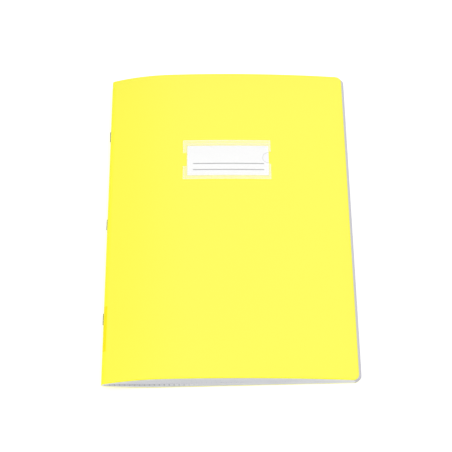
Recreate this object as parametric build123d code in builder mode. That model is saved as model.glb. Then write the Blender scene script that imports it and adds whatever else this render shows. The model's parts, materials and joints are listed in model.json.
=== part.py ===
from build123d import *
from dataclasses import dataclass
from math import asin, degrees, pi, radians, sin
import os

# Stapled exercise book, closed and lying on its back cover, in millimetres.
# X runs from the spine to the fore-edge, Y up the page and Z up from the table.
# The origin is on the table, under the middle of the pressed book.

# Sheets and cover
page_width = 210.0          # spine to fore-edge with the book pressed flat
page_height = 297.0
corner_radius = 5.0         # on the fore-edge corners of every leaf
sheet_count = 10            # folded sheets, two leaves each
paper_thickness = 0.12
cover_thickness = 0.5

# Spine
wire_diameter = 0.6
clinch_clearance = 0.2      # round the clinched wire, inside the innermost fold
fold_gap = 0.05             # air between one fold and the next
fold_land = 0.8             # how far a fold runs past the hinge line before its leaves begin

# Spring of the closed book
crown_distance = 51.0       # hinge line to the book's highest line, the crown
front_rise = 8.05           # climb of the front cover from its fold to the crown
back_rise = 4.7             # fall of the back cover from its fold to the table, under the crown
fore_edge_gap = 0.13        # air between one leaf and the next at the fore-edge

# Staples
staple_width = 12.0         # over the crown's two bends
staple_spacing = 89.8       # between neighbouring staples along the spine
clinch_length = 3.7
wire_bend = 0.5             # bend radius at the middle of the wire
crown_gap = 0.05            # crown to the outside of the spine
leg_clearance = 0.05        # round each leg where it pierces the folds

# Name label on the front cover: a clear pocket, open at the right, and its card
card_width = 71.1
card_height = 30.3
card_thickness = 0.25
card_clearance = 0.1        # above and below the card
card_play = 0.4             # card to the welds round it
film_thickness = 0.2
weld_left = 3.4
weld_top = 5.45
weld_bottom = 3.2
pocket_lip = 1.8            # film that reaches past the card at the open end
pocket_offset = 11.8        # crown to the pocket's left edge, along the cover
pocket_up = 57.3            # middle of the page to the middle of the pocket
push_notch_height = 13.6    # in the left weld
thumb_notch_height = 12.6   # in the open edge
thumb_radius = 5.0
thumb_up = 1.6              # middle of the pocket to the middle of the thumb cut
film_corner = 0.5
card_corner = 0.5

# Places that follow from those sizes
fold_pitch = paper_thickness + fold_gap
inner_fold = wire_diameter / 2 + clinch_clearance
cover_fold = inner_fold + sheet_count * fold_pitch + cover_thickness / 2
spine_radius = cover_fold + cover_thickness / 2
hinge_x = spine_radius - page_width / 2
hinge_z = cover_fold + back_rise + cover_thickness / 2
crown_x = hinge_x + crown_distance
pressed_reach = page_width - sheet_count * paper_thickness - cover_thickness
leaf_count = 2 * sheet_count
leaf_pitch = paper_thickness + fore_edge_gap
fore_edge_stack = leaf_count * leaf_pitch + fore_edge_gap   # between the covers, at the fore-edge


@dataclass
class Layer:
    """One half of a folded sheet or of the cover. Its section is an arc that leaves the fold smoothly and
    runs level at the crown, then a flatter arc down to the fore-edge."""

    thickness: float
    fold: float             # fold radius at mid thickness
    pressed: float          # the same with the book pressed flat
    side: int               # 1 above the hinge line, -1 below
    rise: float             # from the fold to the crown, away from the hinge line
    fore_edge_z: float      # mid thickness at the fore-edge

    def __post_init__(self):
        reach = self.fold + self.rise
        self.crown_z = hinge_z + self.side * reach
        self.near_radius = (crown_distance**2 + reach**2 - self.fold**2) / (2 * self.rise)
        self.near_center = (crown_x, self.crown_z - self.side * self.near_radius)
        self.lean = degrees(asin(crown_distance / (self.near_radius - self.fold)))
        self.land_lean = degrees(asin((crown_distance - fold_land) / self.near_radius))
        bend = self.fold * radians(90 - self.lean) + self.near_radius * radians(self.lean)
        self.far_length = pressed_reach + pi / 2 * self.pressed - bend
        self.drop = self.crown_z - self.fore_edge_z

    @property
    def far_radius(self):
        return self.far_length**2 / (2 * self.drop)

    def near_arc(self, offset):
        """From the crown back to where the leaf leaves its fold."""
        radius = self.near_radius + self.side * offset
        return CenterArc(self.near_center, radius, self.side * 90, self.side * self.land_lean)

    def far_line(self, offset):
        """From the crown to the fore-edge: straight in the back cover, and curled most in the front cover."""
        if abs(self.drop) < 1e-6:
            start = (crown_x, self.crown_z + offset)
            return Line(start, (crown_x + self.far_length, self.crown_z + offset))
        center = (crown_x, self.crown_z - self.far_radius)
        return CenterArc(center, self.far_radius + offset, 90, -degrees(self.far_length / self.far_radius))


def fold_line(front, back, offset):
    """Round the fold between two layers, with the start of the one above it and of the one below it."""
    upper_land, lower_land = front.lean - front.land_lean, back.lean - back.land_lean
    round_fold = 180 - front.lean - back.lean
    upper = CenterArc(front.near_center, front.near_radius + offset, 90 + front.land_lean, upper_land)
    CenterArc((hinge_x, hinge_z), front.fold + offset, 90 + front.lean, round_fold)
    lower = CenterArc(back.near_center, back.near_radius + offset, 270 - back.lean, lower_land)
    return upper @ 0, lower @ 1


def sheet_layer(number, side):
    """Half of sheet 1, the outermost, to sheet_count, the innermost."""
    inside = sheet_count - number + 0.5
    fold = inner_fold + inside * fold_pitch
    rise = (front_rise if side > 0 else back_rise) * inside / (sheet_count + 0.5)
    leaves_below = leaf_count - number if side > 0 else number - 1
    fore_edge_z = cover_thickness + fore_edge_gap / 2 + (leaves_below + 0.5) * leaf_pitch
    return Layer(paper_thickness, fold, inside * paper_thickness, side, rise, fore_edge_z)


def cover_layer(side):
    pressed = sheet_count * paper_thickness + cover_thickness / 2
    if side < 0:
        return Layer(cover_thickness, cover_fold, pressed, side, back_rise, cover_thickness / 2)
    fore_edge_z = 1.5 * cover_thickness + fore_edge_stack
    return Layer(cover_thickness, cover_fold, pressed, side, front_rise, fore_edge_z)


def leaf(layer):
    """A whole leaf, or one panel of the cover, with its fore-edge corners rounded."""
    half = layer.thickness / 2
    with BuildPart() as sheet:
        with BuildSketch(Plane.XZ):
            with BuildLine():
                near_upper = layer.near_arc(half)
                near_lower = layer.near_arc(-half)
                far_upper = layer.far_line(half)
                far_lower = layer.far_line(-half)
                Line(near_upper @ 1, near_lower @ 1)
                Line(far_upper @ 1, far_lower @ 1)
            make_face()
        extrude(amount=page_height / 2, both=True)
        fore_edge = sheet.faces().sort_by(Axis.X)[-1]
        fillet(fore_edge.edges().filter_by(Axis.Y, reverse=True), radius=corner_radius)
    return sheet.part


def fold(front, back):
    """The bend between two leaves of one sheet, or of the cover, pierced by the staple legs."""
    half = front.thickness / 2
    with BuildPart() as bend:
        with BuildSketch(Plane.XZ):
            with BuildLine():
                outer_top, outer_bottom = fold_line(front, back, half)
                inner_top, inner_bottom = fold_line(front, back, -half)
                Line(outer_top, inner_top)
                Line(outer_bottom, inner_bottom)
            make_face()
        extrude(amount=page_height / 2, both=True)
        with BuildSketch(Plane.YZ.offset(hinge_x)):
            with Locations(*[(y, hinge_z) for y in leg_places]):
                Circle(wire_diameter / 2 + leg_clearance)
        extrude(amount=-page_width, mode=Mode.SUBTRACT)
    return bend.part


def save(part, name):
    part.label = name
    export_step(part, f"parts/{name}.step")


os.makedirs("parts", exist_ok=True)

# Staples: the crown lies outside the spine, and the legs are clinched along the hinge line.
staple_places = [-staple_spacing, 0.0, staple_spacing]
leg_half = (staple_width - wire_diameter) / 2
leg_places = [y + side * leg_half for y in staple_places for side in (-1, 1)]
crown_reach = spine_radius + crown_gap + wire_diameter / 2
clinch_tip = leg_half - clinch_length
with BuildPart() as staples:
    for y in staple_places:
        with BuildLine(Plane(origin=(hinge_x, y, hinge_z))) as wire:
            FilletPolyline(
                (0, -clinch_tip),
                (0, -leg_half),
                (-crown_reach, -leg_half),
                (-crown_reach, leg_half),
                (0, leg_half),
                (0, clinch_tip),
                radius=wire_bend,
            )
        with BuildSketch(Plane(origin=wire.line @ 0, z_dir=wire.line % 0)):
            Circle(wire_diameter / 2)
        sweep()
save(staples.part, "staples")

# Sheets, from the outermost inwards: a front leaf, a fold and a back leaf each.
for number in range(1, sheet_count + 1):
    front, back = sheet_layer(number, 1), sheet_layer(number, -1)
    save(leaf(front), f"sheet_{number:02d}_front_leaf")
    save(fold(front, back), f"sheet_{number:02d}_fold")
    save(leaf(back), f"sheet_{number:02d}_back_leaf")

# Cover: one plastic sheet, as the two panels and the fold between them.
front_panel, back_panel = cover_layer(1), cover_layer(-1)
save(leaf(front_panel), "front_cover")
save(fold(front_panel, back_panel), "cover_spine")
save(leaf(back_panel), "back_cover")

# Label: pocket and card are concentric with the front cover's far arc, so the card slides along it.
label_center = (crown_x, front_panel.crown_z - front_panel.far_radius)
front_radius = front_panel.far_radius + cover_thickness / 2
card_radius = front_radius + card_clearance
film_radius = card_radius + card_thickness + card_clearance
channel_start = pocket_offset + weld_left
card_start = channel_start + card_play
card_end = card_start + card_width
pocket_end = card_end + pocket_lip
channel_height = card_height + 2 * card_play
pocket_height = channel_height + weld_top + weld_bottom
pocket_bottom = pocket_up - pocket_height / 2
channel_bottom = pocket_bottom + weld_bottom


def along_front(distance):
    """X of a place on the front cover's outer face, by its distance from the crown along the face."""
    return crown_x + front_radius * sin(distance / front_radius)


def curved_section(inner, outer, start, end, bottom):
    """Section of a slab that follows the front cover, between two distances from the crown."""
    start_angle = 90 - degrees(start / front_radius)
    arc_size = -degrees((end - start) / front_radius)
    with BuildSketch(Plane.XZ.offset(-bottom)) as section:
        with BuildLine():
            inside = CenterArc(label_center, inner, start_angle, arc_size)
            outside = CenterArc(label_center, outer, start_angle, arc_size)
            Line(inside @ 0, outside @ 0)
            Line(inside @ 1, outside @ 1)
        make_face()
    return section.sketch


film_top = film_radius + film_thickness
pocket_section = curved_section(front_radius, film_top, pocket_offset, pocket_end, pocket_bottom)
channel_section = curved_section(front_radius, film_radius, channel_start, pocket_end, channel_bottom)
with BuildPart() as label_pocket:
    extrude(pocket_section, amount=-pocket_height)
    corners = label_pocket.faces().filter_by(Axis.Y).edges().group_by(SortBy.LENGTH)[0]
    fillet(corners, radius=film_corner)
    extrude(channel_section, amount=-channel_height, mode=Mode.SUBTRACT)
    with BuildSketch(Plane.XY):
        with Locations((along_front(channel_start), pocket_up)):
            Rectangle(2 * weld_left, push_notch_height, align=(Align.MAX, Align.CENTER))
        with Locations((along_front(card_end), pocket_up + thumb_up)):
            Rectangle(2 * pocket_lip, thumb_notch_height, align=(Align.MIN, Align.CENTER))
            Circle(thumb_radius)
    extrude(amount=page_height, mode=Mode.SUBTRACT)
save(label_pocket.part, "label_pocket")

card_bottom = channel_bottom + card_play
card_section = curved_section(card_radius, card_radius + card_thickness, card_start, card_end, card_bottom)
with BuildPart() as label_card:
    extrude(card_section, amount=-card_height)
    corners = label_card.faces().filter_by(Axis.Y).edges().group_by(SortBy.LENGTH)[0]
    fillet(corners, radius=card_corner)
save(label_card.part, "label_card")

# Where the moving pieces turn
print(f"hinge line at x {hinge_x:.3f}, z {hinge_z:.3f}")
print(f"label card turns about x {label_center[0]:.4f}, z {label_center[1]:.4f}")
print(f"card clears the pocket after {degrees((pocket_end - card_start) / front_radius):.3f} degrees")
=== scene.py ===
import bmesh
import bpy
import json
import random
from math import asin, cos, pi, radians, sin, tau
from mathutils import Matrix, Vector


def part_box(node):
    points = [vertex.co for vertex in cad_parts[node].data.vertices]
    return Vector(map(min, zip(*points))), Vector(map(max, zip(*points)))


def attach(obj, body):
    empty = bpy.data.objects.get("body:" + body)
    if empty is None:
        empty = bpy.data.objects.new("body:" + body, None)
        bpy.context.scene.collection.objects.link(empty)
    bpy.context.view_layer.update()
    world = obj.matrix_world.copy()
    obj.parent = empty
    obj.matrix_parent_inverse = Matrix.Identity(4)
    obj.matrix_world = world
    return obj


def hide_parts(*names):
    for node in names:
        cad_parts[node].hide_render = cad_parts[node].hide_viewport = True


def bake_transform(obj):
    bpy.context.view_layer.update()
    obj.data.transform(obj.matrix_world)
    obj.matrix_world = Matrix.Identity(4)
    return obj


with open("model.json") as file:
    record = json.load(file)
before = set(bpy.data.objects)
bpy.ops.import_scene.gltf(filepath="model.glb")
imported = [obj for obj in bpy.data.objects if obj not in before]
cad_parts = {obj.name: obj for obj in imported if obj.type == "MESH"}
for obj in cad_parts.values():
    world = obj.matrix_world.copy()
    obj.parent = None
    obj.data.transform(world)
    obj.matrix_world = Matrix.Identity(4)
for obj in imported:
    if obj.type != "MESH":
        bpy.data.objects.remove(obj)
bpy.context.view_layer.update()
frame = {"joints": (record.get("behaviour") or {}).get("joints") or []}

# Cover: one die-cut sheet of bright yellow polypropylene with a fine satin grain and rounded corners.
# It is creased once, folded round the paper and held to it by the staples through the fold.
mm = 0.001
along_x, along_y, along_z = Vector((1, 0, 0)), Vector((0, 1, 0)), Vector((0, 0, 1))


def joint_place(name):
    """A point on a joint's axis."""
    return Vector(next(joint["pos_m"] for joint in frame["joints"] if joint["name"] == name))


cover_thickness = 0.5 * mm
paper_thickness = 0.12 * mm
sheet_count = 10
page_width = 210 * mm
corner_radius = 5 * mm
cover_rim = 0.08 * mm
hinge = joint_place("front_cover_hinge")
label_axis = joint_place("label_card_slide")        # under the crown, the book's highest line
crown_x = label_axis.x
crown_distance = crown_x - hinge.x
cover_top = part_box("front_cover")[1].z
page_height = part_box("front_cover")[1].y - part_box("front_cover")[0].y
front_radius = cover_top - label_axis.z             # front cover's outer face, crown to fore-edge
cover_fold = hinge.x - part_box("cover_spine")[0].x - cover_thickness / 2
front_rise = cover_top - cover_thickness / 2 - hinge.z - cover_fold
back_rise = hinge.z - cover_thickness / 2 - cover_fold
page_reach = page_width - sheet_count * paper_thickness - cover_thickness
leaf_count = 2 * sheet_count
fore_edge_gap = 0.13 * mm
leaf_pitch = paper_thickness + fore_edge_gap
least_curl = 1e-6                                   # per metre: a flat half is a very wide arc


class HalfSheet:
    """Half of a folded sheet at mid thickness: round the fold, over to the crown, on to the fore-edge."""

    def __init__(self, side, fold, rise, pressed, fore_edge_z):
        self.side = side                            # 1 for the front half, -1 for the back half
        self.fold = fold
        reach = fold + rise
        self.crown_z = hinge.z + side * reach
        self.near_radius = (crown_distance**2 + reach**2 - fold**2) / (2 * rise)
        lean = asin(crown_distance / (self.near_radius - fold))
        self.fold_end = fold * (pi / 2 - lean)
        self.crown = self.fold_end + self.near_radius * lean
        self.length = page_reach + pi / 2 * pressed
        self.curl = max(2 * (self.crown_z - fore_edge_z) / (self.length - self.crown) ** 2, least_curl)

    def section(self, along):
        """Place at a distance from the middle of the fold, and the direction out of the book there."""
        if along < self.fold_end:
            turn = pi - along / self.fold
            outward = Vector((cos(turn), 0, self.side * sin(turn)))
            return hinge + self.fold * outward, outward
        crown = Vector((crown_x, 0, self.crown_z))
        if along < self.crown:
            turn = pi / 2 + (self.crown - along) / self.near_radius
            outward = Vector((cos(turn), 0, self.side * sin(turn)))
            return crown + self.near_radius * (outward - self.side * along_z), outward
        turn = (along - self.crown) * self.curl
        place = crown + Vector((sin(turn), 0, cos(turn) - 1)) / self.curl
        return place, self.side * Vector((sin(turn), 0, cos(turn)))

    def place(self, along, y, lift):
        point, outward = self.section(along)
        return point + lift * outward + y * along_y


class FoldedSheet:
    """Both halves of a sheet. Distances are positive into the front half, negative into the back half."""

    def __init__(self, front, back):
        self.front = front
        self.back = back

    def place(self, distance, y, lift):
        half = self.front if distance >= 0 else self.back
        return half.place(abs(distance), y, lift)


corner_steps, rim_steps = 8, 2
rim_angle = radians(60)                             # edges sharper than this get a softened rim
smooth_angle = radians(30)                          # and the faces of a bent sheet are smooth up to this


def deselect():
    bpy.ops.object.select_all(action="DESELECT")


def start_sheet(name, low, high):
    """A flat rectangle between two corners, left open in edit mode."""
    deselect()
    bpy.ops.mesh.primitive_plane_add(size=1)
    sheet = bpy.context.object
    sheet.name = sheet.data.name = name
    bpy.ops.object.mode_set(mode="EDIT")
    bpy.ops.transform.resize(value=(high[0] - low[0], high[1] - low[1], 1))
    bpy.ops.transform.translate(value=((low[0] + high[0]) / 2, (low[1] + high[1]) / 2, 0))
    return sheet


def round_corners(sheet, radius, chosen):
    """Rounds the corners of an open flat sheet that chosen says yes to."""
    bpy.ops.mesh.select_all(action="DESELECT")
    edit = bmesh.from_edit_mesh(sheet.data)
    for vertex in edit.verts:
        if chosen(vertex.co):
            vertex.select_set(True)
    edit.select_flush(True)
    bmesh.update_edit_mesh(sheet.data)
    bpy.ops.mesh.bevel(offset=radius, segments=corner_steps, affect="VERTICES")


def cut_across(axis, places):
    """Cuts an open sheet by planes square to an axis, so that it can bend there."""
    for place in places:
        bpy.ops.mesh.select_all(action="SELECT")
        bpy.ops.mesh.bisect(plane_co=axis * place, plane_no=axis)


def steps(low, high, count):
    """Evenly spaced places strictly between two ends."""
    return [low + (high - low) * step / (count + 1) for step in range(1, count + 1)]


def apply_modifier(sheet, kind, **settings):
    bpy.ops.object.modifier_add(type=kind)
    modifier = sheet.modifiers[-1]
    for name, value in settings.items():
        setattr(modifier, name, value)
    bpy.ops.object.modifier_apply(modifier=modifier.name)


def thicken(sheet, thickness, rim=0):
    """Closes the open flat sheet into a slab, with a softened rim if it has one."""
    bpy.ops.object.mode_set(mode="OBJECT")
    apply_modifier(sheet, "SOLIDIFY", thickness=thickness, offset=0)
    if rim:
        apply_modifier(
            sheet, "BEVEL", width=rim, segments=rim_steps, limit_method="ANGLE", angle_limit=rim_angle
        )


def bend(sheet, place):
    """Carries each point of the flat sheet to its place, and keeps the flat place as the UV map."""
    mesh = sheet.data
    mesh.uv_layers[0].name = "flat"
    flat = mesh.uv_layers["flat"].data
    for corner in mesh.loops:
        flat[corner.index].uv = mesh.vertices[corner.vertex_index].co.xy
    for vertex in mesh.vertices:
        vertex.co = place(*vertex.co)
    mesh.update()
    bpy.ops.object.shade_smooth_by_angle(angle=smooth_angle)


line_core, line_edge = 0.35, 0.65       # shares of a line's width, where it is full and where it ends


class Shade:
    """An output of a shader node. Sums, products and comparisons of values add Math nodes."""

    def __init__(self, tree, socket=None):
        self.tree = tree
        self.socket = socket

    def node(self, kind, settings, sockets, output=0):
        """Adds a node: its settings first, then the values or links of its sockets."""
        made = self.tree.nodes.new(kind)
        for name, value in settings.items():
            setattr(made, name, value)
        for name, value in sockets.items():
            if isinstance(value, Shade):
                self.tree.links.new(value.socket, made.inputs[name])
            else:
                made.inputs[name].default_value = value
        return Shade(self.tree, made.outputs[output])

    def on_sheet(self):
        """The place on the flat sheet, before it was bent."""
        return self.node("ShaderNodeUVMap", {"uv_map": "flat"}, {})

    def on_book(self):
        """The place on the closed book."""
        return self.node("ShaderNodeTexCoord", {}, {}, output="Object")

    def math(self, operation, first, second):
        return self.node("ShaderNodeMath", {"operation": operation}, {0: first, 1: second})

    def __add__(self, other):
        return self.math("ADD", self, other)

    def __sub__(self, other):
        return self.math("SUBTRACT", self, other)

    def __rsub__(self, other):
        return self.math("SUBTRACT", other, self)

    def __mul__(self, other):
        return self.math("MULTIPLY", self, other)

    def __mod__(self, other):
        return self.math("FLOORED_MODULO", self, other)

    def __abs__(self):
        return self.math("ABSOLUTE", self, 0)

    def __gt__(self, other):
        return self.math("GREATER_THAN", self, other)

    def __lt__(self, other):
        return self.math("LESS_THAN", self, other)

    __radd__ = __add__
    __rmul__ = __mul__

    def most(self, other):
        """The larger of two values."""
        return self.math("MAXIMUM", self, other)

    def diagonal(self, other):
        """The length of the diagonal between sides of this value and another."""
        return self.math("POWER", self * self + other * other, 0.5)

    def ramp(self, low, high):
        """0 below low, 1 above high, smooth between."""
        settings = {"interpolation_type": "SMOOTHSTEP"}
        return self.node("ShaderNodeMapRange", settings, {0: self, 1: low, 2: high})

    def between(self, low, high, blur):
        """1 from low to high, and 0 further than blur outside them."""
        return self.ramp(low - blur, low) * self.ramp(high + blur, high)

    def line(self, place, width):
        """1 on a line across this value, 0 away from it."""
        return 1 - abs(self - place).ramp(width * line_core, width * line_edge)

    def lines(self, pitch, width):
        """1 on lines at every half pitch, 0 away from them."""
        return (self % pitch).line(pitch / 2, width)

    def tint(self, off, on):
        """The colour off where this value is 0 and on where it is 1."""
        return self.node("ShaderNodeMix", {"data_type": "RGBA"}, {0: self, 6: off, 7: on}, output=2)

    def noise(self, scale, detail):
        """Noise of about 0 to 1 on this vector, scale features to the metre."""
        return self.node("ShaderNodeTexNoise", {}, {"Vector": self, "Scale": scale, "Detail": detail})

    def axes(self):
        """The three values of this vector."""
        return [self.node("ShaderNodeSeparateXYZ", {}, {0: self}, output=axis) for axis in range(3)]

    def bump(self, distance, strength):
        """A normal with this value as its height."""
        sockets = {"Height": self, "Distance": distance, "Strength": strength}
        return self.node("ShaderNodeBump", {}, sockets)


def finish_material(name, **constants):
    """A material whose Principled shader has these constants, and a start for its shader maths."""
    material = bpy.data.materials.new(name)
    material.use_nodes = True
    shader = material.node_tree.nodes["Principled BSDF"]
    for socket, value in constants.items():
        shader.inputs[socket.replace("_", " ")].default_value = value
    return material, shader.inputs, Shade(material.node_tree)


def feed(sockets, **values):
    """Links shader maths to a Principled shader's sockets."""
    for socket, value in values.items():
        value.tree.links.new(value.socket, sockets[socket.replace("_", " ")])


fold_cuts, near_cuts, far_cuts, cover_cross_cuts = 13, 17, 17, 5
cover_pressed = sheet_count * paper_thickness + cover_thickness / 2
cover_edge_z = 1.5 * cover_thickness + leaf_count * leaf_pitch + fore_edge_gap      # over all the leaves
cover_sheet = FoldedSheet(
    HalfSheet(1, cover_fold, front_rise, cover_pressed, cover_edge_z),
    HalfSheet(-1, cover_fold, back_rise, cover_pressed, cover_thickness / 2),
)
cover_corner = (cover_sheet.front.length, page_height / 2)
cover = start_sheet("cover", (-cover_corner[0], -cover_corner[1]), cover_corner)
round_corners(cover, corner_radius, lambda corner: True)
cut_across(along_x, [0])
for half in (cover_sheet.front, cover_sheet.back):
    cuts = [
        *steps(0, half.fold_end, fold_cuts),
        half.fold_end,
        *steps(half.fold_end, half.crown, near_cuts),
        half.crown,
        *steps(half.crown, half.length - corner_radius, far_cuts),
    ]
    cut_across(along_x, [half.side * cut for cut in cuts])
cut_across(along_y, steps(-page_height / 2, page_height / 2, cover_cross_cuts))
thicken(cover, cover_thickness, cover_rim)
bend(cover, cover_sheet.place)

# The satin grain and a deeper yellow along the cut edges follow the sheet, and so does a plain darker
# patch that is printed over the fold beside the lowest staple. A deeper yellow at the fold, fading
# towards the fore-edge, is painted shade where the cover's sheen dims towards the spine.
cover_yellow = (0.98, 0.915, 0.096, 1)
# The deeper yellow is the cut edges' own colour, and is also used for the painted shade at the fold.
edge_and_shade_yellow = (0.95, 0.94, 0.0, 1)
patch_yellow = (0.94, 0.83, 0.0, 1)
edge_glow = 1.6 * mm
fore_edge_tint, head_and_tail_tint = 0.4, 0.8           # 1 is the full edge colour
fold_shade_reach, fold_shade_tint = (2.5 * mm, 6.5 * mm), 0.35  # painted shade at the fold fades out in this range
spine_shade_reach, spine_shade_tint = (4 * mm, 80 * mm), 0.26       # and a fainter painted shade, where the sheen dims towards the spine, in this
patch_across, patch_up = (1.2 * mm, 4.3 * mm), (-119.8 * mm, -79.2 * mm)
patch_blur = 0.25 * mm
grain_scale, grain_bump = 1500, (0.03 * mm, 0.35)       # a bump is a height and a strength
mottle_scale, mottle_tint = 22, 0.06
cover_roughness, mottle_roughness, grain_roughness = 0.4, 0.08, 0.06

cover_plastic, sockets, shade = finish_material("cover_plastic", IOR=1.49, Specular_IOR_Level=0.3)
flat = shade.on_sheet()
across, up, _ = flat.axes()
grain = flat.noise(grain_scale, detail=3)
mottle = flat.noise(mottle_scale, detail=3)
fore_edge = abs(across).ramp(cover_corner[0] - edge_glow, cover_corner[0])
head_and_tail = abs(up).ramp(cover_corner[1] - edge_glow, cover_corner[1])
rim = (fore_edge * fore_edge_tint).most(head_and_tail * head_and_tail_tint)
# Painted shade: a deeper yellow at the fold, and a fainter one fading out 80 mm from it towards the
# fore-edge.
painted_cover_shade = (1 - abs(across).ramp(*fold_shade_reach)) * fold_shade_tint
painted_cover_shade = painted_cover_shade + (1 - abs(across).ramp(*spine_shade_reach)) * spine_shade_tint
edge_mottle_and_shade = rim.most(painted_cover_shade) + (mottle - 0.5) * mottle_tint
patch = across.between(*patch_across, patch_blur) * up.between(*patch_up, patch_blur)
feed(
    sockets,
    Base_Color=patch.tint(edge_mottle_and_shade.tint(cover_yellow, edge_and_shade_yellow), patch_yellow),
    Roughness=cover_roughness + mottle * mottle_roughness + grain * grain_roughness,
    Normal=grain.bump(*grain_bump),
)
cover.data.materials.append(cover_plastic)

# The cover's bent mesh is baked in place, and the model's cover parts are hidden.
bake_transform(cover)
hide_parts("front_cover", "cover_spine", "back_cover")

# Sheets: ten sheets of white writing paper, ruled in pale blue, folded once and nested in each other.
# Each sheet is two leaves and the fold between them; the staples pass through all the folds.
fold_gap = 0.05 * mm
fold_land = 0.8 * mm                # a fold runs this far past the hinge line
fold_pitch = paper_thickness + fold_gap
inner_fold = cover_fold - cover_thickness / 2 - sheet_count * fold_pitch
leaf_length = page_reach - fold_land
square = 4 * mm                     # the ruling's pitch, both ways
rule_width = 0.24 * mm
end_band_depth = 0.3 * mm                # how far the head and tail band reaches into a leaf: the ruling stops there, and the painted shadow lies there
dash_width, dash_tint = 1.1 * mm, 0.5       # where the ruling runs off the head and tail, its dashes painted dark for the shade they lie in
dash_fade = (-56 * mm, -18 * mm)
gap_shadow_drop = 0.052                   # painted shadow of the gap between the two halves, running down from the hinge line
gap_shadow_lift = 0.6 * mm
gap_shadow_half = (0.9 * mm, 2.4 * mm)
gap_shadow_start = (hinge.x - 5 * mm, hinge.x + 6 * mm)
gap_shadow_fade = (-85 * mm, -35 * mm)
fore_edge_shade_width, fore_edge_shade_blur = 0.5 * mm, 0.2 * mm  # painted shade of the gaps between the staggered leaves, a greyer band along the cut fore-edge

paper_white = (0.925, 0.925, 0.94, 1)
paper_shade = (0.87, 0.87, 0.895, 1)
rule_blue = (0.5, 0.56, 0.7, 1)
# The two greys below are painted shade: the ruling's dashes in the gap's shadow, and that shadow itself.
shaded_dash_grey = (0.3, 0.3, 0.32, 1)
gap_shadow_grey = (0.64, 0.64, 0.65, 1)
# The greyer fore-edge colour is painted shade.
fore_edge_shade_grey = (0.66, 0.66, 0.71, 1)
fibre_scale, fibre_tint, fibre_bump = 2600, 0.4, (0.02 * mm, 0.3)
cloud_scale, cloud_tint = 60, 0.5
paper_roughness, fibre_roughness = 0.75, 0.2

paper, sockets, shade = finish_material("paper", IOR=1.4, Specular_IOR_Level=0.25)
flat = shade.on_sheet()
across, up, _ = flat.axes()
fibre = flat.noise(fibre_scale, detail=4)
cloud = flat.noise(cloud_scale, detail=2)
head_and_tail_band = abs(up) > page_height / 2 - end_band_depth
rules = across.lines(square, rule_width).most(up.lines(square, rule_width)) * (1 - head_and_tail_band)
rest_x, _, rest_z = shade.on_book().axes()
# Painted shadow of the gap between the two halves on the head and tail of the leaves, fading out towards
# the fore-edge; the ruling's dashes in it are painted dark grey.
off_gap_shadow = rest_z + (rest_x - hinge.x) * gap_shadow_drop - (hinge.z + gap_shadow_lift)
near_gap_shadow = (1 - abs(off_gap_shadow).ramp(*gap_shadow_half)) * rest_x.ramp(*gap_shadow_start) * head_and_tail_band
painted_gap_shadow = near_gap_shadow * (1 - rest_x.ramp(*gap_shadow_fade))
shaded_dashes = rest_x.lines(square, dash_width) * near_gap_shadow * (1 - rest_x.ramp(*dash_fade)) * dash_tint
# Painted shade: a greyer band along each leaf's cut fore-edge, for the shaded gaps between the leaves.
corner_x = (across - (leaf_length - corner_radius)).most(0)
corner_y = (abs(up) - (page_height / 2 - corner_radius)).most(0)
fore_edge_shade_start = corner_radius - fore_edge_shade_width
painted_fore_edge_shade = corner_x.diagonal(corner_y).ramp(fore_edge_shade_start, fore_edge_shade_start + fore_edge_shade_blur) * (corner_x > 0)
colour = (cloud * cloud_tint + fibre * fibre_tint).tint(paper_white, paper_shade)
colour = painted_gap_shadow.tint(rules.tint(colour, rule_blue), gap_shadow_grey)
colour = shaded_dashes.tint(colour, shaded_dash_grey)
feed(
    sockets,
    Base_Color=painted_fore_edge_shade.tint(colour, fore_edge_shade_grey),
    Roughness=paper_roughness + fibre * fibre_roughness,
    Normal=fibre.bump(*fibre_bump),
)


def paper_half(number, side):
    """Half of sheet 1, the outermost, to sheet 10, the innermost."""
    inside = sheet_count - number + 0.5
    rise = (front_rise if side > 0 else back_rise) * inside / (sheet_count + 0.5)
    leaves_below = leaf_count - number if side > 0 else number - 1
    fore_edge_z = cover_thickness + fore_edge_gap / 2 + (leaves_below + 0.5) * leaf_pitch
    return HalfSheet(side, inner_fold + inside * fold_pitch, rise, inside * paper_thickness, fore_edge_z)


def leaf_start(half):
    """Distance from the middle of the fold to where the leaf begins."""
    return half.crown - half.near_radius * asin((crown_distance - fold_land) / half.near_radius)


leaf_sway = {1: 1.6 * mm, -1: 1.0 * mm}     # of the innermost leaf, front and back
gap_share = 0.33                            # of the gap to its neighbours, for a leaf's shift and waves
shift_share = 0.6
wave_lengths, wave_shares = (210 * mm, 83 * mm), (0.25, 0.15)
seed_step = 100


def leaf_lift(half, number):
    """How far a leaf lies off its even place: a little wave, well inside the gap to its neighbours.
    The leaves also sway together, the inner ones most, and are even at the fold and at their edges."""
    chance = random.Random(seed_step * number + half.side)
    shift = chance.uniform(-shift_share, shift_share)
    waves = [(length, share, chance.uniform(0, tau)) for length, share in zip(wave_lengths, wave_shares)]
    rise = front_rise if half.side > 0 else back_rise
    crown_space = rise / (sheet_count + 0.5) + fold_gap
    sway = half.side * leaf_sway[half.side] * number / sheet_count
    start = leaf_start(half)

    def lift(along, y):
        if along < half.crown:
            space = fold_gap + (crown_space - fold_gap) * along / half.crown
        else:
            way = (along - half.crown) / (half.length - half.crown)
            space = crown_space + (fore_edge_gap - crown_space) * way
        wave = sum(share * sin(tau * y / length + phase) for length, share, phase in waves)
        swell = sin(pi * (along - start) / (half.length - start)) * sin(tau * y / page_height)
        return gap_share * space * (shift + wave) + sway * swell

    return lift


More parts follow.
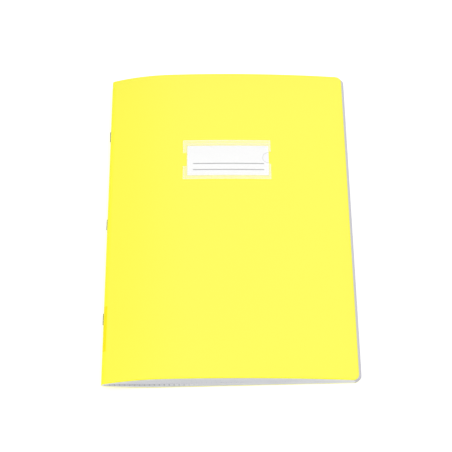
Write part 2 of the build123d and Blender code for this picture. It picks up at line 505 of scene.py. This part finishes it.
leaf_cuts, leaf_cross_cuts, paper_fold_cuts = 12, 21, 19
flat_leaf = start_sheet("flat_leaf", (0, -page_height / 2), (leaf_length, page_height / 2))
round_corners(flat_leaf, corner_radius, lambda corner: corner.x > leaf_length / 2)
cuts = [
    *steps(0, crown_distance, leaf_cuts),
    crown_distance,
    *steps(crown_distance, leaf_length - corner_radius, leaf_cuts),
]
cut_across(along_x, cuts)
cut_across(along_y, steps(-page_height / 2, page_height / 2, leaf_cross_cuts))
thicken(flat_leaf, paper_thickness)
flat_leaf.data.materials.append(paper)

flat_fold = start_sheet("flat_fold", (-fold_land, -page_height / 2), (fold_land, page_height / 2))
cut_across(along_x, steps(-fold_land, fold_land, paper_fold_cuts))
thicken(flat_fold, paper_thickness)
flat_fold.data.materials.append(paper)


def copy_of(original, name):
    """A copy with its own mesh, selected by itself."""
    deselect()
    original.select_set(True)
    bpy.context.view_layer.objects.active = original
    bpy.ops.object.duplicate(linked=False)
    copy = bpy.context.object
    copy.name = copy.data.name = name
    return copy


def add_leaf(half, number, body):
    """One leaf, from where it leaves its fold to the fore-edge."""
    leaf = copy_of(flat_leaf, f"paper_{number:02d}_{'front' if half.side > 0 else 'back'}")
    start = leaf_start(half)
    stretch = (half.length - start) / leaf_length
    lift = leaf_lift(half, number)

    def place(x, y, off):
        along = start + x * stretch
        return half.place(along, y, half.side * off + lift(along, y))

    bend(leaf, place)
    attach(leaf, body)
    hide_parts(f"{body}_leaf")


paper_band_share = 0.9              # of the fold's radius


def add_fold(sheet, number):
    """The bent strip between the two leaves of a sheet."""
    paper_fold = copy_of(flat_fold, f"paper_{number:02d}_fold")
    ends = {True: leaf_start(sheet.front), False: leaf_start(sheet.back)}
    bend(paper_fold, lambda x, y, off: sheet.place(x / fold_land * ends[x >= 0], y, off))
    fold_band = paper_band_share * sheet.front.fold * along_z
    hinge - fold_band
    hinge + fold_band
    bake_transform(paper_fold)
    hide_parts(f"sheet_{number:02d}_fold")


for number in range(1, sheet_count + 1):
    sheet = FoldedSheet(paper_half(number, 1), paper_half(number, -1))
    back, front = f"sheet_{number:02d}_back", f"sheet_{number:02d}_front"
    add_leaf(sheet.front, number, front)
    add_leaf(sheet.back, number, back)
    add_fold(sheet, number)
bpy.data.objects.remove(flat_leaf)
bpy.data.objects.remove(flat_fold)

# Staples: three pieces of bright drawn steel wire, driven through the fold from outside.
# The crowns lie along the spine, and the legs are clinched inside the middle sheet.
wire_diameter = 0.6 * mm
staple_width = 12 * mm
staple_spacing = 89.8 * mm
clinch_length = 3.7 * mm
wire_bend = 0.5 * mm
crown_gap = 0.05 * mm
wire_sides, bend_steps = 16, 6
wire_smooth_angle = radians(40)
merge_distance = 0.001 * mm
leg_half = (staple_width - wire_diameter) / 2
crown_reach = cover_fold + cover_thickness / 2 + crown_gap + wire_diameter / 2
leg_run = crown_reach - 2 * wire_bend

deselect()
bpy.ops.mesh.primitive_circle_add(
    vertices=wire_sides,
    radius=wire_diameter / 2,
    location=hinge + (clinch_length - leg_half) * along_y,
    rotation=(pi / 2, 0, 0),
    enter_editmode=True,
)
staple = bpy.context.object
staple.name = staple.data.name = "wire_staples"


def extrude(offset):
    bpy.ops.mesh.extrude_region_move(TRANSFORM_OT_translate={"value": offset})


def turn_wire(x, y):
    """A quarter turn about an upright line, placed from the staple's middle on the hinge line."""
    center = hinge + Vector((x, y, 0))
    bpy.ops.mesh.spin(steps=bend_steps, angle=pi / 2, center=center, axis=-along_z)


extrude((wire_bend - clinch_length) * along_y)
turn_wire(-wire_bend, wire_bend - leg_half)
extrude(-leg_run * along_x)
turn_wire(wire_bend - crown_reach, wire_bend - leg_half)
extrude(2 * (leg_half - wire_bend) * along_y)
turn_wire(wire_bend - crown_reach, leg_half - wire_bend)
extrude(leg_run * along_x)
turn_wire(-wire_bend, leg_half - wire_bend)
extrude((wire_bend - clinch_length) * along_y)
bpy.ops.mesh.select_all(action="SELECT")
bpy.ops.mesh.remove_doubles(threshold=merge_distance)
bpy.ops.mesh.fill_holes(sides=0)
bpy.ops.mesh.normals_make_consistent(inside=False)
bpy.ops.mesh.select_all(action="SELECT")
for offset in (staple_spacing, -2 * staple_spacing):
    bpy.ops.mesh.duplicate_move(TRANSFORM_OT_translate={"value": offset * along_y})
bpy.ops.object.mode_set(mode="OBJECT")
bpy.ops.object.transform_apply(location=True, rotation=True, scale=True)
bpy.ops.object.shade_smooth_by_angle(angle=wire_smooth_angle)

wire_bright, wire_dull = (0.4, 0.4, 0.41, 1), (0.34, 0.34, 0.35, 1)
drawn_scale, drawn_bump = 1400, (0.002 * mm, 0.3)
stain_scale = 300
wire_roughness, drawn_roughness = 0.34, 0.14
staple_wire, sockets, shade = finish_material("staple_wire", Metallic=1.0)
drawn = shade.on_book().noise(drawn_scale, detail=2)
stain = shade.on_book().noise(stain_scale, detail=3)
feed(
    sockets,
    Base_Color=stain.tint(wire_bright, wire_dull),
    Roughness=wire_roughness + drawn * drawn_roughness,
    Normal=drawn.bump(*drawn_bump),
)
staple.data.materials.append(staple_wire)
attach(staple, "spine")
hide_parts("staples")

# Label pocket: a clear soft film, welded to the front cover on three sides and open at the right.
# A square notch in the left weld and a thumb cut at the open end let the card be pushed out.
film_thickness = 0.2 * mm
film_lift = 0.45 * mm               # cover to the underside of the film, over the card
weld_lift = 0.02 * mm
weld_left, weld_top, weld_bottom = 3.4 * mm, 5.45 * mm, 3.2 * mm
weld_slope = 0.9 * mm
push_notch_height, thumb_notch_height, thumb_radius = 13.6 * mm, 12.6 * mm, 5.0 * mm
thumb_up = 1.6 * mm                 # the thumb cut is a little above the middle
thumb_sides = 48
film_corner = 0.5 * mm
film_cuts, slope_steps = 14, 5
cut_depth = 10 * mm


def from_crown(x):
    """Distance from the crown along the front cover's outer face."""
    return front_radius * asin((x - crown_x) / front_radius)


pocket_low, pocket_high = (corner.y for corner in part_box("label_pocket"))
pocket_start, pocket_end = (from_crown(corner.x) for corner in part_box("label_pocket"))
card_low, card_high = (corner.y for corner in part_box("label_card"))
card_start, card_end = (from_crown(corner.x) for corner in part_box("label_card"))
pocket_middle = (pocket_low + pocket_high) / 2
thumb_middle = pocket_middle + thumb_up
channel_start = pocket_start + weld_left
channel_low, channel_high = pocket_low + weld_bottom, pocket_high - weld_top


def on_front(distance, y, lift):
    """A place over the front cover, by its distance from the crown along the cover's outer face."""
    turn = distance / front_radius
    return label_axis + (front_radius + lift) * Vector((sin(turn), 0, cos(turn))) + y * along_y


def smooth_step(value):
    """0 to 1 with soft ends, as the value goes from 0 to 1."""
    value = min(max(value, 0.0), 1.0)
    return value * value * (3 - 2 * value)


def film_place(x, y, off):
    """The film lies on the cover at its welds and rises over the card."""
    outside = max(channel_start - x, channel_low - y, y - channel_high)
    rise = 1 - smooth_step(outside / weld_slope)
    return on_front(x, y, film_thickness / 2 + weld_lift + (film_lift - weld_lift) * rise + off)


def cut_out(sheet, cutter):
    """Takes the shape of the cutter out of a flat slab."""
    deselect()
    sheet.select_set(True)
    bpy.context.view_layer.objects.active = sheet
    apply_modifier(sheet, "BOOLEAN", object=cutter, operation="DIFFERENCE", solver="EXACT")
    bpy.data.objects.remove(cutter)


film = start_sheet("label_pocket_film", (pocket_start, pocket_low), (pocket_end, pocket_high))
round_corners(film, film_corner, lambda corner: True)
thicken(film, film_thickness)
notches = [
    (pocket_start - weld_left, channel_start, pocket_middle, push_notch_height),
    (card_end, 2 * pocket_end - card_end, thumb_middle, thumb_notch_height),
]
for left, right, middle, height in notches:
    deselect()
    bpy.ops.mesh.primitive_cube_add(size=1, location=((left + right) / 2, middle, 0))
    notch = bpy.context.object
    notch.scale = (right - left, height, cut_depth)
    cut_out(film, notch)
deselect()
bpy.ops.mesh.primitive_cylinder_add(
    vertices=thumb_sides, radius=thumb_radius, depth=cut_depth, location=(card_end, thumb_middle, 0)
)
cut_out(film, bpy.context.object)
bpy.ops.object.mode_set(mode="EDIT")
slopes = [weld_slope * cut / slope_steps for cut in range(slope_steps + 1)]
cut_across(along_x, [channel_start - slope for slope in slopes])
cut_across(along_x, steps(channel_start, pocket_end, film_cuts))
cut_across(along_y, [channel_low - slope for slope in slopes])
cut_across(along_y, [channel_high + slope for slope in slopes])
bpy.ops.object.mode_set(mode="OBJECT")
bend(film, film_place)

# The film is nearly clear over the card, milky where it is welded, and whitest along the weld lines.
# A fainter line runs along the top weld, and the thumb cut shows as a thin grey line on the card.
film_white, cut_grey = (1.0, 1.0, 0.97, 1), (0.45, 0.45, 0.46, 1)
clear_share, milky_share, line_share = 0.06, 0.23, 0.36     # how much of what is under it the film hides
weld_line = 1.8 * mm
top_line, top_line_up, top_line_share = 1.6 * mm, 1.6 * mm, 0.7
cut_line, cut_share = 1.2 * mm, 0.14
haze_scale, haze_share = 160, 0.03

pocket_film, sockets, shade = finish_material("pocket_film", Roughness=0.22, IOR=1.5)
flat = shade.on_sheet()
across, up, _ = flat.axes()
haze = flat.noise(haze_scale, detail=2)
over_card = (across > card_start) * (across < card_end) * (up > card_low) * (up < card_high)
welds = across.line(pocket_start, weld_line).most(across.line(pocket_end, weld_line))
welds = welds.most(up.line(pocket_low, weld_line)).most(up.line(pocket_high, weld_line))
welds = welds.most(up.line(channel_high + top_line_up, top_line) * top_line_share)
hidden = milky_share + welds * (line_share - milky_share) + (haze - 0.5) * haze_share
hidden = hidden + over_card * (clear_share - hidden)
from_thumb = (across - card_end).diagonal(up - thumb_middle)
thumb_line = from_thumb.line(thumb_radius, cut_line) * over_card
feed(
    sockets,
    Base_Color=thumb_line.tint(film_white, cut_grey),
    Alpha=hidden.most(thumb_line * cut_share),
)
film.data.materials.append(pocket_film)
film.visible_shadow = False
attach(film, "front_cover")
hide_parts("label_pocket")

# Label card: a slip of smooth white card, printed with two grey writing lines below a bare space.
# It is cut with rounded corners, slid into the pocket from the right and held by the film.
card_thickness = 0.25 * mm
card_clearance = 0.1 * mm
card_corner = 0.5 * mm
card_rim = 0.04 * mm
card_cuts = 13
card = start_sheet("writing_card", (card_start, card_low), (card_end, card_high))
round_corners(card, card_corner, lambda corner: True)
cut_across(along_x, steps(card_start + card_corner, card_end - card_corner, card_cuts))
thicken(card, card_thickness, card_rim)
bend(card, lambda x, y, off: on_front(x, y, card_clearance + card_thickness / 2 + off))

upper_line, lower_line = 52.9 * mm, 46.65 * mm
line_left, line_right = -30.6 * mm, 31.1 * mm
line_width = 0.9 * mm
card_white = (0.92, 0.92, 0.925, 1)
card_shade = (0.885, 0.885, 0.89, 1)
line_grey = (0.36, 0.36, 0.37, 1)
card_fibre_scale, card_fibre_tint, card_fibre_bump = 3200, 0.6, (0.01 * mm, 0.2)
card_roughness, card_fibre_roughness = 0.55, 0.15
label_card, sockets, shade = finish_material("label_card", IOR=1.45, Specular_IOR_Level=0.3)
rest = shade.on_book()
across, up, _ = rest.axes()
fibre = rest.noise(card_fibre_scale, detail=3)
written = up.line(upper_line, line_width) + up.line(lower_line, line_width)
written = written * (across > line_left) * (across < line_right)
feed(
    sockets,
    Base_Color=written.tint((fibre * card_fibre_tint).tint(card_white, card_shade), line_grey),
    Roughness=card_roughness + fibre * card_fibre_roughness,
    Normal=fibre.bump(*card_fibre_bump),
)
card.data.materials.append(label_card)
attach(card, "label_card")
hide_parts("label_card")

# Studio: a white table under a white dome, with a broad lamp high behind the book and one low in front.
# The table and the dome show pure white, and the table keeps the book's soft shadow.
table_size, table_drop = 24, 0.02 * mm
table_level, table_glow = 0.92, 0.32
dome_light, dark_reflection = 1.0, 0.03
dark_side = (-0.6, 0.1)             # reflections of the dome dim in this range, towards the left
key_place, key_power = Vector((0.7, 0.8, 1.4)), 2
fill_place, fill_power = Vector((-0.4, -1.5, 0.45)), 3
lamp_size = 1.1


def grey(level):
    return (level, level, level, 1)


def ray(shade, kind):
    """1 for rays of this kind, 0 for others."""
    return shade.node("ShaderNodeLightPath", {}, {}, output=f"Is {kind} Ray")


deselect()
bpy.ops.mesh.primitive_plane_add(size=table_size, location=(0, 0, -table_drop))
table = bpy.context.object
table.name = "table"
table_white, sockets, shade = finish_material(
    "table_white",
    Base_Color=grey(table_level),
    Roughness=0.9,
    Specular_IOR_Level=0,
    Emission_Strength=1,
)
seen = ray(shade, "Camera") + ray(shade, "Glossy") + ray(shade, "Transmission")
feed(sockets, Emission_Color=(seen > 0.5).tint(grey(0), grey(table_glow)))
table.data.materials.append(table_white)

world = bpy.data.worlds.new("studio")
bpy.context.scene.world = world
world.use_nodes = True
shade = Shade(world.node_tree)
side, _, _ = shade.node("ShaderNodeTexCoord", {}, {}, output="Generated").axes()
reflection = side.ramp(*dark_side).tint(grey(dark_reflection), grey(1))
light = ray(shade, "Glossy").tint(grey(dome_light), reflection)
light = ray(shade, "Camera").tint(light, grey(1))
world.node_tree.links.new(light.socket, world.node_tree.nodes["Background"].inputs["Color"])

for lamp_place, power in ((key_place, key_power), (fill_place, fill_power)):
    bpy.ops.object.light_add(type="AREA", location=lamp_place)
    lamp = bpy.context.object
    lamp.rotation_euler = (-lamp_place).to_track_quat("-Z", "Y").to_euler()
    lamp.data.shape = "DISK"
    lamp.data.size = lamp_size
    lamp.data.energy = power

# Camera: at the place and angle that the photograph was taken from, high over the tail of the book.
# It has a long lens, which keeps the perspective mild.
camera_place = Vector((30.56, -565.91, 1008.45)) * mm
camera_yaw, camera_pitch, camera_roll = radians(-3.401), radians(60.659), radians(-4.484)
camera_lens, camera_sensor = 106.762, 36    # both in millimetres
clip_near, clip_far = 0.01, 100
bpy.ops.object.camera_add()
camera = bpy.context.object
camera.matrix_world = (
    Matrix.Translation(camera_place)
    @ Matrix.Rotation(-camera_yaw, 4, "Z")
    @ Matrix.Rotation(pi / 2 - camera_pitch, 4, "X")
    @ Matrix.Rotation(camera_roll, 4, "Z")
)
camera.data.lens = camera_lens
camera.data.sensor_width = camera_sensor
camera.data.clip_start, camera.data.clip_end = clip_near, clip_far
bpy.context.scene.camera = camera
bpy.context.scene.view_settings.view_transform = "Standard"
